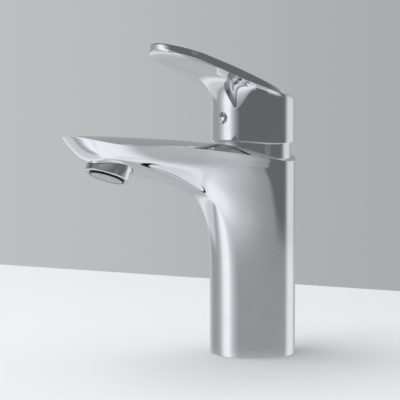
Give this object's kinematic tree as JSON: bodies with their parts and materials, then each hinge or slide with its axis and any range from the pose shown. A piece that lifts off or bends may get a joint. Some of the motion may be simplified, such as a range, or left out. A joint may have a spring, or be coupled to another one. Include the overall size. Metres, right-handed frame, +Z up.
{
  "type": "bathroom mixer faucet",
  "caption": "Single-lever basin mixer with a round column, a tongue-shaped spout with a tilted aerator, a ceramic cartridge and a lifting, swivelling lever.",
  "frame": {"origin": "centre of the column's base, on the deck", "axes": "+Z up along the column, -Y the way the spout points, +X to the right of someone who stands behind the mixer and looks along the spout's back"},
  "size_m": [0.048, 0.1555, 0.2131],
  "materials": {
    "chrome": "polished",
    "brass": "machined",
    "white_plastic": "moulded",
    "grey_plastic": "moulded",
    "red_plastic": "moulded",
    "ceramic": "lapped",
    "steel": "turned",
    "seal_rubber": "moulded",
    "gasket_rubber": "moulded"
  },
  "bodies": {
    "column": {"body": "chrome", "trim_sleeve": "chrome", "cartridge_nut": "brass", "cartridge_housing": "white_plastic", "cartridge_base": "grey_plastic", "port_seals": "seal_rubber", "housing_seal": "seal_rubber", "fixed_disc": "ceramic", "aerator_washer": "seal_rubber", "aerator_housing": "chrome", "aerator_insert": "grey_plastic", "aerator_screen": "steel", "base_gasket": "gasket_rubber", "fixing_stud": "steel", "clamp_washer": "seal_rubber", "clamp_plate": "steel", "fixing_nut": "brass"},
    "turret": {"rotor": "white_plastic", "limit_ring": "red_plastic", "stem_pin": "steel"},
    "lever": {"stem": "brass", "lever_handle": "chrome", "handle_screw": "steel", "index_button": "chrome"},
    "disc_slide": {"moving_disc": "ceramic", "disc_carrier": "grey_plastic"}
  },
  "joints": [
    {"name": "temperature_swivel", "type": "hinge", "parent": "column", "child": "turret", "pos_m": [0, 0, 0.117], "axis": [0, 0, 1], "range_deg": [-45, 45]},
    {"name": "flow_lift", "type": "hinge", "parent": "turret", "child": "lever", "pos_m": [0, 0, 0.117], "axis": [-1, 0, 0], "range_deg": [0, 20]},
    {"name": "disc_travel", "type": "slide", "parent": "turret", "child": "disc_slide", "axis": [0, -1, 0], "range_m": [0, 0.0043]}
  ],
  "couplings": [
    {"joint": "disc_travel", "follows": "flow_lift", "m_per_rad": 0.0119}
  ]
}
